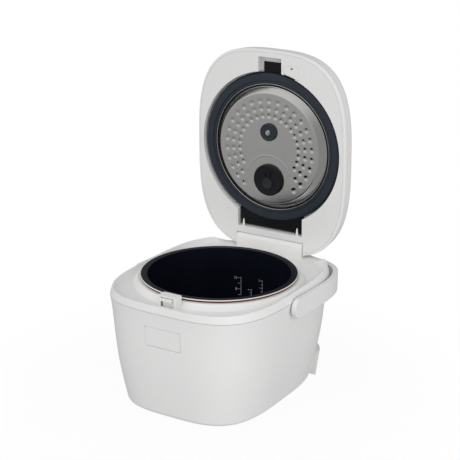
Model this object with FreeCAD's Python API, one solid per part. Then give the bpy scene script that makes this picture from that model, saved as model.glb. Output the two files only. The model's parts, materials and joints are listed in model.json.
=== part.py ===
import FreeCAD, Part
import math
import os

# Household rice cooker, standing on a table with its lid open, in millimetres.
# The origin is on the table under the axis of the inner pot; the front faces -Y.

V = FreeCAD.Vector

# Inner pot
pot_radius = 122.0
pot_flange_width = 8.5
pot_flange_thickness = 2.0
pot_wall = 2.0
pot_depth = 140.0
pot_corner_radius = 26.0
pot_plate_gap = 0.2

# Plan of the body: lands between the collar round the pot and the rim of the deck
collar_overhang = 4.0
side_land = 9.0
front_land = 33.5
rear_land = 48.5
corner_power = 3.45
outline_points = 64

# Side view of the body
foot_height = 5.0
shell_height = 173.0
seam_gap = 0.6
band_height = 12.5
pot_rise = 5.5
shell_wall = 2.5
seam_flare_x = 4.2
seam_flare_y = 1.0
belly_drop = 63.0
belly_inset = 6.4
waist_drop = 123.0
waist_inset = 14.0
heel_drop = 164.0
heel_inset = 22.4
base_inset = 24.4
heel_shift = 5.6
heel_radius = 8.0
base_lip = 12.0

# Deck on top of the body
deck_floor = 4.0
rim_land = 2.0
rim_curve_drop = 4.0
rim_curve_inset = 5.0
valley_inset = 16.0
collar_rise = 1.0
collar_skin = 3.0
collar_slope = 0.9
ear_pocket_width = 27.3
ear_pocket_depth = 6.5
ear_pocket_ramp = 24.0

# Lid hinge
hinge_setback = 34.0
hinge_rise = 7.5
barrel_radius = 9.3
barrel_half_length = 60.7
barrel_skin = 2.4
hinge_pin_radius = 3.0
hinge_pin_grip = 11.0
lid_open_angle = 89.1
spring_pocket_length = 34.0
spring_pocket_end = 10.7

# Fits
running_fit = 0.05
press_gap = 0.02
seat_gap = 0.2
side_gap = 0.5

# Latch at the front
block_half_width = 15.5
block_setback = 18.0
block_depth = 15.5
block_rise = 10.8
block_wall = 2.0
window_drop = 15.0
lever_half_width = 10.0
lever_thickness = 3.0
lever_front_gap = 1.5
lever_pivot_drop = 66.0
lever_tail = 4.5
nose_reach = 8.8
nose_height = 3.0
nose_top_drop = 3.2
lever_pin_radius = 2.0
lever_boss_radius = 4.5
bracket_plate = 2.5
bracket_side_gap = 1.5
bracket_depth = 17.0
bracket_back_rise = 10.0
bracket_back_height = 44.0
latch_spring_radius = 3.2
latch_spring_wire = 0.9
latch_spring_turns = 5

# Front release button
button_width = 61.4
button_height = 30.2
button_top_drop = 23.6
button_proud = 0.4
button_corner = 2.0
button_flange = 2.5
button_flange_thickness = 1.6
button_stem_half_width = 8.0
button_stem_half_height = 3.0
button_stem_gap = 0.3

# Carrying handle
handle_height = 30.0
handle_thickness = 7.5
handle_side_gap = 3.0
handle_rear_gap = 4.5
handle_pivot_y = -8.0
handle_pivot_drop = 9.0
handle_power = 3.8
handle_droop = 2.0
handle_pin_radius = 5.0
handle_pin_socket = 4.5
handle_washer_radius = 9.0
handle_washer_thickness = 2.0
handle_pin_tail = 1.0

# Heat chamber and heater
chamber_gap = 4.5
chamber_wall = 1.0
chamber_floor = 1.5
chamber_flange = 6.0
chamber_flange_thickness = 1.2
chamber_hole_radius = 24.0
heating_plate_inset = 25.5
heating_plate_thickness = 8.2
heating_plate_hole = 20.5
band_heater_height = 30.0
band_heater_thickness = 2.5
band_heater_rise = 50.0

# Spring-loaded thermostat under the pot
thermostat_radius = 18.0
thermostat_height = 9.5
thermostat_stem_radius = 5.0
thermostat_stem_length = 22.0
holder_radius = 21.0
holder_wall = 2.0
holder_flange = 5.0
holder_depth = 15.5
thermostat_spring_radius = 6.5
thermostat_spring_wire = 1.2
thermostat_spring_turns = 5

# Base plate, feet, screws and power board
base_flange = 3.5
base_flange_thickness = 2.5
foot_radius = 10.0
foot_taper = 1.5
foot_inset_x = 25.0
foot_inset_y = 32.0
post_radius = 6.0
post_inset = 16.0
post_count = 3
post_turn = 30.0
screw_head_radius = 3.6
screw_head_height = 2.2
screw_radius = 1.7
screw_length = 14.0
screw_tip_gap = 1.0
vent_slot_count = 7
vent_slot_pitch = 9.0
vent_slot_width = 3.0
vent_slot_length = 42.0
vent_slot_back = 55.0
board_half_width = 52.0
board_depth = 66.0
board_front = 92.0
board_rise = 10.0
board_thickness = 1.6
board_post_radius = 3.5
board_post_inset = 6.0
transformer_width = 34.0
transformer_depth = 30.0
transformer_height = 15.0

# Rear housing and power inlet
housing_height = 43.0
housing_step = 4.0
housing_foot_step = 7.5
housing_wrap = 14.0
housing_wall = 2.5
housing_gap = 0.25
inlet_half_width = 17.0
inlet_height = 22.0
inlet_rise = 12.0
inlet_depth = 26.0
inlet_wall = 2.6
inlet_recess = 17.0
inlet_setback = 0.6
inlet_pin_radius = 2.0
inlet_pin_length = 12.0
inlet_pin_pitch = 7.0

# Lid shell
lid_gap = 1.5
lid_side_inset = 1.0
lid_power = 3.1
lid_back_shift = 1.6
lid_wall = 2.4
lid_side_height = 20.0
lid_bulge = 0.6
crown_rise = 26.0
crown_inset = 40.0
crown_steps = 5

# Lid liner facing the pot
liner_thickness = 2.5
liner_gap = 0.25
recess_clearance = 2.5
recess_depth = 13.5
recess_wall = 2.0
notch_side_gap = 1.0
notch_front_gap = 0.8
notch_height = 34.5
notch_wall = 2.5
bar_depth = 11.0
tab_recess_inset = 1.7
catch_side_gap = 5.5
catch_mouth_gap = 3.4
catch_depth_gap = 8.0
keeper_thickness = 1.0
keeper_depth = 6.0
insert_width = 27.0
insert_depth = 20.0
insert_side_gap = 4.5
insert_setback = 12.0
insert_slot_width = 4.0
insert_slot_depth = 2.4
peg_inset = 11.7
peg_length = 12.0
peg_radius = 2.3
peg_tip_radius = 0.9
peg_rise = 2.2

# Inner lid
gasket_rim_gap = 0.3
gasket_inset = 1.0
gasket_width = 16.5
gasket_band = 11.0
gasket_height = 4.2
gasket_step = 1.6
carrier_overlap = 1.5
carrier_thickness = 3.3
carrier_tab_side_gap = 2.5
carrier_tab_thickness = 6.2
carrier_tab_gap = 1.5
finger_tab_side_gap = 4.5
finger_tab_length = 15.5
finger_tab_thickness = 2.2
finger_tab_sink = 0.9
plate_flange = 4.0
plate_slope = 10.0
plate_drop = 10.5
plate_thickness = 0.8
plate_gap = 0.5
sensor_y = -27.5
sensor_radius = 14.5
sensor_height = 4.4
sensor_neck_radius = 6.0
sensor_pin_radius = 2.6
sensor_pin_proud = 2.0
sensor_pin_length = 5.0
valve_y = 51.5
valve_radius = 26.0
valve_height = 5.6
valve_neck_radius = 13.0
valve_hub_radius = 11.0
valve_hub_height = 1.6
valve_hole_radius = 4.0

# Lid top: control panel, keys and steam vent
panel_half_width = 45.0
panel_front = 108.0
panel_depth = 72.0
panel_corner = 8.0
panel_flange = 2.0
panel_flange_thickness = 1.5
display_half_width = 22.0
display_depth = 24.0
display_margin = 9.0
display_flange = 2.0
key_radius = 5.8
key_pitch = 20.0
key_count = 4
key_margin = 17.0
key_proud = 0.7
key_foot_gap = 0.8
board_hang = 4.5
vent_radius = 27.5
vent_wall = 1.6
vent_floor = 2.0
vent_depth = 19.0
vent_proud = 2.0
vent_throat_radius = 8.0
vent_slot_half_length = 9.0
vent_slot_half_width = 1.6
vent_slot_spacing = 8.0
torsion_spring_radius = 5.2
torsion_spring_wire = 1.2
torsion_spring_turns = 10

# Working values: a reach past the whole object, the overrun of a cut, the match for an edge
far = 400.0
overrun = 1.0
edge_match = 0.01

# Levels and radii that follow from the sizes above
seam_level = foot_height + shell_height
deck_level = seam_level + seam_gap
rim_level = seam_level + band_height
pot_rim_level = rim_level + pot_rise
valley_level = deck_level + deck_floor
collar_level = rim_level + collar_rise
hinge_level = rim_level + hinge_rise
lid_level = rim_level + lid_gap
lid_side_level = lid_level + lid_side_height
lid_top_level = lid_side_level + crown_rise
lid_skin_level = lid_top_level - lid_wall
recess_level = lid_level + recess_depth
notch_level = lid_level + notch_height
collar_radius = pot_radius + collar_overhang
pot_outer_radius = pot_radius - pot_flange_width
pot_bottom = pot_rim_level - pot_depth - pot_wall
plate_top = pot_bottom - pot_plate_gap
chamber_inside = plate_top - heating_plate_thickness
chamber_bottom = chamber_inside - chamber_floor
chamber_radius = pot_outer_radius + chamber_gap
base_top = foot_height + shell_wall + base_flange_thickness
gasket_outer_radius = pot_radius - gasket_inset
carrier_radius = gasket_outer_radius + carrier_overlap
recess_radius = carrier_radius + recess_clearance
plate_radius = gasket_outer_radius - gasket_width - plate_gap
plate_shoulder_radius = plate_radius - plate_flange
plate_face_radius = plate_shoulder_radius - plate_slope
heating_plate_radius = pot_outer_radius - heating_plate_inset
post_ring_radius = chamber_radius - post_inset
rim_half_width = collar_radius + side_land
rim_half_depth = collar_radius + (front_land + rear_land) / 2
rim_centre = (rear_land - front_land) / 2
hinge_back = collar_radius + hinge_setback
block_front = collar_radius + block_setback
housing_front = collar_radius - housing_wrap
base_centre = rim_centre - heel_shift
foot_x = rim_half_width + seam_flare_x - base_inset - base_lip - foot_inset_x
foot_y = rim_half_depth + seam_flare_y - base_inset - base_lip - foot_inset_y
pocket_outer_x = barrel_half_length - spring_pocket_end
pocket_inner_x = pocket_outer_x - spring_pocket_length
ear_pocket_half_width = barrel_half_length + ear_pocket_width
notch_half_width = barrel_half_length + notch_side_gap
tab_recess_half_width = notch_half_width - tab_recess_inset
carrier_tab_half_width = tab_recess_half_width - carrier_tab_side_gap
peg_x = notch_half_width - peg_inset
catch_half_width = block_half_width + catch_side_gap
finger_tab_half_width = catch_half_width - finger_tab_side_gap
finger_tab_reach = carrier_radius + finger_tab_length
insert_offset = catch_half_width + insert_side_gap + insert_width / 2
insert_front = recess_radius + insert_setback
notch_front = hinge_back - barrel_radius - notch_front_gap
bar_front = notch_front - bar_depth
carrier_level = pot_rim_level + gasket_rim_gap + gasket_height
plate_face_level = carrier_level - plate_drop
lever_y = -block_front + block_wall + lever_front_gap
lever_pivot_level = seam_level - lever_pivot_drop
button_level = seam_level - button_top_drop - button_height / 2
handle_level = seam_level - handle_pivot_drop


def box(x0, x1, y0, y1, z0, z1):
    return Part.makeBox(x1 - x0, y1 - y0, z1 - z0, V(x0, y0, z0))


def disc(radius, z0, z1, x=0.0, y=0.0):
    return Part.makeCylinder(radius, z1 - z0, V(x, y, z0))


def rod_x(radius, x0, x1, y, z):
    return Part.makeCylinder(radius, x1 - x0, V(x0, y, z), V(1, 0, 0))


def rod_y(radius, y0, y1, x, z):
    return Part.makeCylinder(radius, y1 - y0, V(x, y0, z), V(0, 1, 0))


def ring(inner, outer, z0, z1):
    return disc(outer, z0, z1).cut(disc(inner, z0 - overrun, z1 + overrun))


def turned(points):
    """Solid of revolution about Z from (radius, height) corners."""
    corners = [V(radius, 0, height) for radius, height in points]
    face = Part.Face(Part.makePolygon(corners + corners[:1]))
    return face.revolve(V(0, 0, 0), V(0, 0, 1), 360)


def outline(half_width, half_depth, centre, level, power):
    """Rounded-square wire in plan, a superellipse."""
    points = []
    for step in range(outline_points):
        angle = 2 * math.pi * step / outline_points
        across = abs(math.cos(angle) / half_width) ** power
        along = abs(math.sin(angle) / half_depth) ** power
        reach = (across + along) ** (-1 / power)
        points.append(V(reach * math.cos(angle), centre + reach * math.sin(angle), level))
    curve = Part.BSplineCurve()
    curve.interpolate(Points=points, PeriodicFlag=True)
    return Part.Wire(curve.toShape())


def prism(wire, height):
    return Part.Face(wire).extrude(V(0, 0, height))


def coil(radius, wire_radius, length, turns):
    """Round-wire spring standing on Z = 0, its end turns within the length."""
    rise = length - 2 * wire_radius
    helix = Part.makeHelix(rise / turns, rise, radius)
    section = Part.Wire(Part.makeCircle(wire_radius, V(radius, 0, 0), V(0, 1, 0)))
    spring = Part.Wire(helix.Edges).makePipeShell([section], True, True)
    spring.translate(V(0, 0, wire_radius))
    return spring


def rim_outline(inset, level):
    return outline(rim_half_width - inset, rim_half_depth - inset, rim_centre, level, corner_power)


def shell_outline(drop_inset, wall, level):
    """Plan of the body at one level, pulled in from the seam by the taper and a wall."""
    centre = rim_centre - heel_shift * drop_inset / base_inset
    half_width = rim_half_width + seam_flare_x - drop_inset - wall
    half_depth = rim_half_depth + seam_flare_y - drop_inset - wall
    return outline(half_width, half_depth, centre, level, corner_power)


def body_solid(wall, bottom, corner):
    """Tapered bucket from the bottom to the seam, with its bottom edge rounded."""
    sections = [
        (base_inset, bottom),
        (heel_inset, seam_level - heel_drop),
        (waist_inset, seam_level - waist_drop),
        (belly_inset, seam_level - belly_drop),
        (0.0, seam_level),
    ]
    wires = [shell_outline(inset, wall, level) for inset, level in sections]
    solid = Part.makeLoft(wires, True, False)
    bottom_edges = [edge for edge in solid.Edges if edge.BoundBox.ZMax < bottom + edge_match]
    return solid.makeFillet(corner, bottom_edges)


def wall_reach(solid, x, level, direction):
    """Distance along Y, front (-1) or rear (1), at which a solid ends at one place."""
    line = Part.makeLine(V(x, 0, level), V(x, direction * far, level))
    inside = line.common(solid)
    return inside.BoundBox.YMin if direction < 0 else inside.BoundBox.YMax


def side_reach(solid, y, level):
    inside = Part.makeLine(V(0, y, level), V(far, y, level)).common(solid)
    return inside.BoundBox.XMax


def base_opening(gap):
    return shell_outline(base_inset, base_lip + gap, foot_height)


def open_lid(shape):
    """Swing a lid piece from the closed place, where it is drawn, to the open one."""
    shape.rotate(V(0, hinge_back, hinge_level), V(1, 0, 0), -lid_open_angle)
    return shape


# Body shell and what closes it below

body_outside = body_solid(0.0, foot_height, heel_radius)
body_inside = body_solid(shell_wall, foot_height + shell_wall, heel_radius - shell_wall)
button_front = wall_reach(body_outside, 0.0, button_level, -1)
button_upper = wall_reach(body_outside, 0.0, button_level + button_height / 2, -1)
button_lean = math.degrees(math.atan2(button_front - button_upper, button_height / 2))
handle_wall = side_reach(body_outside, handle_pivot_y, handle_level)
inlet_level = foot_height + inlet_rise + inlet_height / 2


def outer_shell():
    shell = body_outside.cut(body_inside)
    shell = shell.cut(prism(base_opening(0.0), shell_wall + overrun))
    half = button_width / 2 + side_gap
    tall = button_height / 2 + side_gap
    shell = shell.cut(box(-half, half, -far, lever_y, button_level - tall, button_level + tall))
    bore = handle_pin_radius + running_fit
    shell = shell.cut(rod_x(bore, -far, far, handle_pivot_y, handle_level))
    return shell.cut(inlet_window())


def inlet_window():
    half = inlet_half_width + seat_gap
    tall = inlet_height / 2 + seat_gap
    return box(-half, half, 0, far, inlet_level - tall, inlet_level + tall)


def base_plate():
    plate = prism(base_opening(seat_gap), shell_wall)
    flange = shell_outline(base_inset, base_lip - base_flange, foot_height + shell_wall)
    plate = plate.fuse(prism(flange, base_flange_thickness))
    for x, y in post_places():
        plate = plate.fuse(disc(post_radius, base_top - overrun, chamber_bottom, x, y))
        hole_end = chamber_bottom - screw_length
        plate = plate.cut(disc(screw_radius, hole_end, chamber_bottom + overrun, x, y))
    for x, y in board_corners():
        plate = plate.fuse(disc(board_post_radius, base_top - overrun, base_top + board_rise, x, y))
    for slot in range(vent_slot_count):
        x = (slot - (vent_slot_count - 1) / 2) * vent_slot_pitch
        half = vent_slot_width / 2
        y0 = vent_slot_back - vent_slot_length / 2
        plate = plate.cut(box(x - half, x + half, y0, y0 + vent_slot_length, 0, base_top + overrun))
    return plate


def post_places():
    places = []
    for post in range(post_count):
        angle = 2 * math.pi * post / post_count + math.radians(post_turn)
        places.append((post_ring_radius * math.cos(angle), post_ring_radius * math.sin(angle)))
    return places


def board_corners():
    x = board_half_width - board_post_inset
    front = -board_front + board_post_inset
    rear = -board_front + board_depth - board_post_inset
    return [(-x, front), (x, front), (-x, rear), (x, rear)]


def feet():
    solids = []
    for x in (-foot_x, foot_x):
        for y in (base_centre - foot_y, base_centre + foot_y):
            solids.append(Part.makeCone(foot_radius - foot_taper, foot_radius, foot_height, V(x, y, 0)))
    return Part.makeCompound(solids)


def chamber_screws():
    solids = []
    for x, y in post_places():
        head = disc(screw_head_radius, chamber_inside, chamber_inside + screw_head_height, x, y)
        shank_end = chamber_bottom - screw_length + screw_tip_gap
        shank = disc(screw_radius - press_gap, shank_end, chamber_inside + overrun, x, y)
        solids.append(head.fuse(shank))
    return Part.makeCompound(solids)


def power_board():
    level = base_top + board_rise
    rear = -board_front + board_depth
    return box(-board_half_width, board_half_width, -board_front, rear, level, level + board_thickness)


def power_transformer():
    level = base_top + board_rise + board_thickness
    half = transformer_width / 2
    front = -board_front + board_post_inset + board_post_radius
    return box(-half, half, front, front + transformer_depth, level, level + transformer_height)


# Rear housing round the power inlet

def housing_solid(wall, lift):
    """Block that stands out from the body's lower rear, wider at its top than its foot."""
    foot = shell_outline(heel_inset - housing_foot_step, wall, foot_height + lift)
    top = shell_outline(waist_inset - housing_step, wall, foot_height + housing_height - lift)
    block = Part.makeLoft([foot, top], True, True)
    return block.common(box(-far, far, housing_front + lift, far, 0, far))


def rear_housing():
    housing = housing_solid(0.0, 0.0).cut(housing_solid(housing_wall, housing_wall))
    grown = body_solid(-housing_gap, foot_height - housing_gap, heel_radius + housing_gap)
    return housing.cut(grown).cut(inlet_window())


def inlet_back():
    return wall_reach(housing_solid(0.0, 0.0), inlet_half_width, inlet_level, 1) - inlet_setback


def power_inlet():
    rear = inlet_back()
    tall = inlet_height / 2
    half = inlet_half_width
    block = box(-half, half, rear - inlet_depth, rear, inlet_level - tall, inlet_level + tall)
    half -= inlet_wall
    tall -= inlet_wall
    well = box(-half, half, rear - inlet_recess, rear + overrun, inlet_level - tall, inlet_level + tall)
    block = block.cut(well)
    floor = rear - inlet_recess
    for x in inlet_pin_places():
        bore = inlet_pin_radius + press_gap
        block = block.cut(rod_y(bore, floor - inlet_wall, floor + overrun, x, inlet_level))
    return block


def inlet_pin_places():
    return (-inlet_pin_pitch, 0.0, inlet_pin_pitch)


def inlet_pins():
    start = inlet_back() - inlet_recess - inlet_wall
    end = start + inlet_wall + inlet_pin_length
    solids = [rod_y(inlet_pin_radius, start, end, x, inlet_level) for x in inlet_pin_places()]
    return Part.makeCompound(solids)


# Deck round the pot, with the hinge barrel and the latch block

def collar_radius_at(level):
    return collar_radius + collar_slope * (collar_level - level)


def collar_ring():
    """Sloped collar, hollow underneath, with a flat ring on top beneath the pot's flange."""
    foot = V(0, 0, deck_level)
    foot_radius_outside = collar_radius_at(deck_level)
    outside = Part.makeCone(foot_radius_outside, collar_radius, collar_level - deck_level, foot)
    hollow_level = collar_level - collar_skin
    hollow_top = collar_radius_at(hollow_level) - collar_skin
    hollow = Part.makeCone(foot_radius_outside - collar_skin, hollow_top, hollow_level - deck_level, foot)
    return outside, hollow


def latch_block(grow):
    """Outer block (grow 0) or its inside (grow of minus one wall)."""
    half = block_half_width + grow
    front = -block_front - grow
    rear = front + block_depth + 2 * grow
    return box(-half, half, front, rear, deck_level, collar_level + block_rise + grow)


def latch_window():
    half = block_half_width - 2 * block_wall
    top = collar_level + block_rise - block_wall
    return box(-half, half, -block_front - overrun, lever_y, top - window_drop, top)


def hinge_tower():
    half = barrel_half_length
    tower = rod_x(barrel_radius, -half, half, hinge_back, hinge_level)
    foot = box(-half, half, hinge_back - barrel_radius, hinge_back + barrel_radius, deck_level, hinge_level)
    return tower.fuse(foot)


def hinge_pockets():
    """Hollows in the tower for the two lid springs, open below."""
    radius = barrel_radius - barrel_skin
    pockets = []
    for x0, x1 in ((-pocket_outer_x, -pocket_inner_x), (pocket_inner_x, pocket_outer_x)):
        pocket = rod_x(radius, x0, x1, hinge_back, hinge_level)
        low = box(x0, x1, hinge_back - radius, hinge_back + radius, deck_level - overrun, hinge_level)
        pockets.append(pocket.fuse(low))
    return pockets


def ear_pocket():
    """Room in the rear rim for the ears of the open lid, with ramped ends."""
    front = hinge_back - barrel_radius
    low = rim_level - ear_pocket_depth
    high = rim_level + overrun
    half = ear_pocket_half_width
    wide = half + ear_pocket_ramp
    corners = [V(-half, front, low), V(half, front, low), V(wide, front, high), V(-wide, front, high)]
    return Part.Face(Part.makePolygon(corners + corners[:1])).extrude(V(0, far, 0))


def top_deck():
    band = Part.makeLoft([shell_outline(0.0, 0.0, deck_level), rim_outline(0.0, rim_level)], True, True)
    valley = Part.makeLoft([
        rim_outline(valley_inset, valley_level),
        rim_outline(rim_curve_inset, rim_level - rim_curve_drop),
        rim_outline(rim_land, rim_level),
    ], True, False)
    deck = band.cut(valley)
    deck = deck.cut(ear_pocket())
    collar, hollow = collar_ring()
    deck = deck.fuse(collar).cut(hollow)
    deck = deck.fuse(hinge_tower()).fuse(latch_block(0.0))
    deck = deck.cut(latch_block(-block_wall)).cut(latch_window())
    deck = deck.cut(latch_well())
    for hollow_part in hinge_pockets():
        deck = deck.cut(hollow_part)
    bore = hinge_pin_radius + running_fit
    deck = deck.cut(rod_x(bore, -far, far, hinge_back, hinge_level))
    return deck.cut(disc(chamber_radius + chamber_wall + side_gap, 0, far))


def latch_well():
    """Slot through the deck's floor for the latch lever."""
    half = block_half_width - block_wall
    front = -block_front + block_wall
    return box(-half, half, front, front + block_depth - 2 * block_wall, 0, deck_level + overrun)


# Latch lever behind the release button

def latch_lever():
    half = lever_half_width
    rear = lever_y + lever_thickness
    top = collar_level + block_rise - nose_top_drop
    lever = box(-half, half, lever_y, rear, lever_pivot_level - lever_tail, top)
    nose = box(-half, half, lever_y - nose_reach, rear, top - nose_height, top)
    centre = lever_y + lever_thickness / 2
    boss = rod_x(lever_boss_radius, -half, half, centre, lever_pivot_level)
    lever = lever.fuse(nose).fuse(boss)
    bore = lever_pin_radius + running_fit
    return lever.cut(rod_x(bore, -far, far, centre, lever_pivot_level))


def latch_pin():
    half = lever_half_width + bracket_side_gap + bracket_plate
    return rod_x(lever_pin_radius, -half, half, lever_y + lever_thickness / 2, lever_pivot_level)


def bracket_back():
    return lever_y - lever_thickness + bracket_depth


def latch_bracket():
    inner = lever_half_width + bracket_side_gap
    outer = inner + bracket_plate
    front = lever_y - lever_thickness
    rear = bracket_back()
    low = lever_pivot_level - lever_tail - bracket_plate
    bracket = box(-outer, outer, front, rear, low, deck_level)
    bracket = bracket.cut(box(-inner, inner, -far, rear - bracket_plate, 0, far))
    back_low = lever_pivot_level + bracket_back_rise
    bracket = bracket.cut(box(-inner, inner, -far, far, 0, back_low))
    bracket = bracket.cut(box(-inner, inner, -far, far, back_low + bracket_back_height, far))
    bore = lever_pin_radius + press_gap
    return bracket.cut(rod_x(bore, -far, far, lever_y + lever_thickness / 2, lever_pivot_level))


def latch_spring():
    start = lever_y + lever_thickness + seat_gap
    length = bracket_back() - bracket_plate - seat_gap - start
    spring = coil(latch_spring_radius, latch_spring_wire / 2, length, latch_spring_turns)
    spring.rotate(V(0, 0, 0), V(1, 0, 0), -90)
    spring.translate(V(0, start, button_level))
    return spring


def release_button():
    half = button_width / 2
    tall = button_height / 2
    depth = shell_wall + button_proud + seat_gap
    cap = box(-half, half, -button_proud, depth, -tall, tall)
    corners = [edge for edge in cap.Edges if edge.BoundBox.YLength > depth - edge_match]
    cap = cap.makeFillet(button_corner, corners)
    front_edges = [edge for edge in cap.Edges if edge.BoundBox.YMax < -button_proud + edge_match]
    cap = cap.makeFillet(button_proud, front_edges)
    back = depth + button_flange_thickness
    wide = half + button_flange
    high = tall + button_flange
    flange = box(-wide, wide, depth, back, -high, high)
    cap = cap.fuse(flange)
    cap.rotate(V(0, 0, 0), V(1, 0, 0), button_lean)
    cap.translate(V(0, button_front, button_level))
    stem_end = lever_y - button_stem_gap
    wide = button_stem_half_width
    high = button_stem_half_height
    stem = box(-wide, wide, button_front + depth, stem_end, button_level - high, button_level + high)
    return cap.fuse(stem)


# Carrying handle folded to the rear

def handle_band(inset):
    inner = handle_wall + handle_side_gap
    half_width = inner + handle_thickness - inset
    rear = wall_reach(body_outside, 0.0, handle_level, 1) + handle_rear_gap + handle_thickness - inset
    half_depth = rear - rim_centre
    base = handle_level - handle_height / 2
    loop = prism(outline(half_width, half_depth, rim_centre, base, handle_power), handle_height)
    loop = loop.common(box(-far, far, rim_centre, far, 0, far))
    front = handle_pivot_y - handle_height
    arms = box(-half_width, half_width, front, rim_centre, base, base + handle_height)
    return loop.fuse(arms)


def carry_handle():
    band = handle_band(0.0).cut(handle_band(handle_thickness))
    inner = handle_wall + handle_side_gap
    middle = box(-inner, inner, -far, rim_centre, 0, far)
    band = band.cut(middle)
    radius = handle_height / 2
    side = box(-far, far, handle_pivot_y, far, handle_level - radius, handle_level + radius)
    side = side.fuse(rod_x(radius, -far, far, handle_pivot_y, handle_level))
    band = band.common(side)
    for x0, x1 in pivot_spans():
        bore = handle_pin_radius + press_gap
        band = band.cut(rod_x(bore, x0, x1, handle_pivot_y, handle_level))
    band.rotate(V(0, handle_pivot_y, handle_level), V(1, 0, 0), -handle_droop)
    return band


def pivot_spans():
    """Where the two pivot pins run, from inside the shell into the arms."""
    inner = handle_wall - shell_wall - handle_washer_thickness - handle_pin_tail
    outer = handle_wall + handle_side_gap + handle_pin_socket
    return ((-outer, -inner), (inner, outer))


def handle_pivots():
    solids = []
    for x0, x1 in pivot_spans():
        solids.append(rod_x(handle_pin_radius, x0, x1, handle_pivot_y, handle_level))
    return Part.makeCompound(solids)


def handle_washers():
    """Push-on washers that keep the pivot pins in the shell, clear of its inner wall."""
    outer = side_reach(body_inside, handle_pivot_y, handle_level - handle_washer_radius) - seat_gap
    bore = rod_x(handle_pin_radius + press_gap, -far, far, handle_pivot_y, handle_level)
    solids = []
    for x0 in (-outer, outer - handle_washer_thickness):
        x1 = x0 + handle_washer_thickness
        washer = rod_x(handle_washer_radius, x0, x1, handle_pivot_y, handle_level)
        solids.append(washer.cut(bore))
    return Part.makeCompound(solids)


# Heat chamber, heater, thermostat and pot

def heat_chamber():
    top = collar_level - collar_skin - seat_gap / 2
    outer = chamber_radius + chamber_wall
    cup = disc(outer, chamber_bottom, top).cut(disc(chamber_radius, chamber_inside, top + overrun))
    flange = ring(chamber_radius, outer + chamber_flange, top - chamber_flange_thickness, top)
    cup = cup.fuse(flange)
    cup = cup.cut(disc(chamber_hole_radius, chamber_bottom - overrun, chamber_inside + overrun))
    for x, y in post_places():
        bore = screw_radius + press_gap
        cup = cup.cut(disc(bore, chamber_bottom - overrun, chamber_inside + overrun, x, y))
    return cup


def heating_plate():
    return ring(heating_plate_hole, heating_plate_radius, chamber_inside, plate_top)


def band_heater():
    inner = chamber_radius + chamber_wall + seat_gap
    low = chamber_inside + band_heater_rise
    return ring(inner, inner + band_heater_thickness, low, low + band_heater_height)


def thermostat_cap():
    low = plate_top - thermostat_height
    cap = disc(thermostat_radius, low, plate_top)
    return cap.fuse(disc(thermostat_stem_radius, low - thermostat_stem_length, low + overrun))


def thermostat_holder():
    low = chamber_bottom - holder_depth
    cup = disc(holder_radius + holder_wall, low, chamber_bottom)
    cup = cup.cut(disc(holder_radius, low + holder_wall, chamber_bottom + overrun))
    rim_radius = chamber_hole_radius + holder_flange
    cup = cup.fuse(ring(holder_radius, rim_radius, chamber_bottom - holder_wall, chamber_bottom))
    return cup.cut(disc(thermostat_stem_radius + running_fit, low - overrun, chamber_bottom))


def thermostat_spring():
    low = chamber_bottom - holder_depth + holder_wall + seat_gap
    length = plate_top - thermostat_height - seat_gap - low
    wire_radius = thermostat_spring_wire / 2
    spring = coil(thermostat_spring_radius, wire_radius, length, thermostat_spring_turns)
    spring.translate(V(0, 0, low))
    return spring


def pot_shell(radius, bottom, corner, top):
    """Round-bottomed pot volume up to a level."""
    volume = disc(radius, bottom, top)
    low_edges = [edge for edge in volume.Edges if edge.BoundBox.ZMax < bottom + edge_match]
    return volume.makeFillet(corner, low_edges)


def inner_pot():
    outside = pot_shell(pot_outer_radius, pot_bottom, pot_corner_radius, pot_rim_level)
    flange = disc(pot_radius, pot_rim_level - pot_flange_thickness, pot_rim_level)
    inner_radius = pot_outer_radius - pot_wall
    inner_corner = pot_corner_radius - pot_wall
    inside = pot_shell(inner_radius, pot_bottom + pot_wall, inner_corner, pot_rim_level + overrun)
    return outside.fuse(flange).cut(inside)


# Lid, drawn closed

def lid_outline(inset, wall, level):
    half_width = rim_half_width - lid_side_inset - inset - wall
    half_depth = rim_half_depth - inset - wall
    return outline(half_width, half_depth, rim_centre + lid_back_shift, level, lid_power)


def lid_solid(wall):
    """Domed lid volume; a wall above zero gives the inside of the shell."""
    wires = [
        lid_outline(0.0, wall, lid_level),
        lid_outline(-lid_bulge, wall, lid_level + lid_side_height / 2),
        lid_outline(0.0, wall, lid_side_level),
    ]
    for step in range(1, crown_steps + 1):
        angle = math.pi / 2 * step / crown_steps
        inset = crown_inset * (1 - math.cos(angle))
        rise = (crown_rise - wall) * math.sin(angle)
        wires.append(lid_outline(inset, wall, lid_side_level + rise))
    return Part.makeLoft(wires, True, False)


lid_outside = lid_solid(0.0)
lid_inside = lid_solid(lid_wall)


def notch_space():
    """Room in the lid's rear edge for the hinge tower."""
    return box(-notch_half_width, notch_half_width, notch_front, far, 0, notch_level)


def rounded_panel(grow, low, high):
    half = panel_half_width + grow
    plate = box(-half, half, -panel_front - grow, -panel_front + panel_depth + grow, low, high)
    corners = [edge for edge in plate.Edges if edge.BoundBox.ZLength > high - low - edge_match]
    return plate.makeFillet(panel_corner + grow, corners)


def lid_cover():
    cover = lid_outside.cut(lid_inside).cut(notch_space())
    cover = cover.cut(rounded_panel(seat_gap, lid_side_level, far))
    return cover.cut(disc(vent_radius + seat_gap, lid_side_level, far, 0, valve_y))


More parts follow.
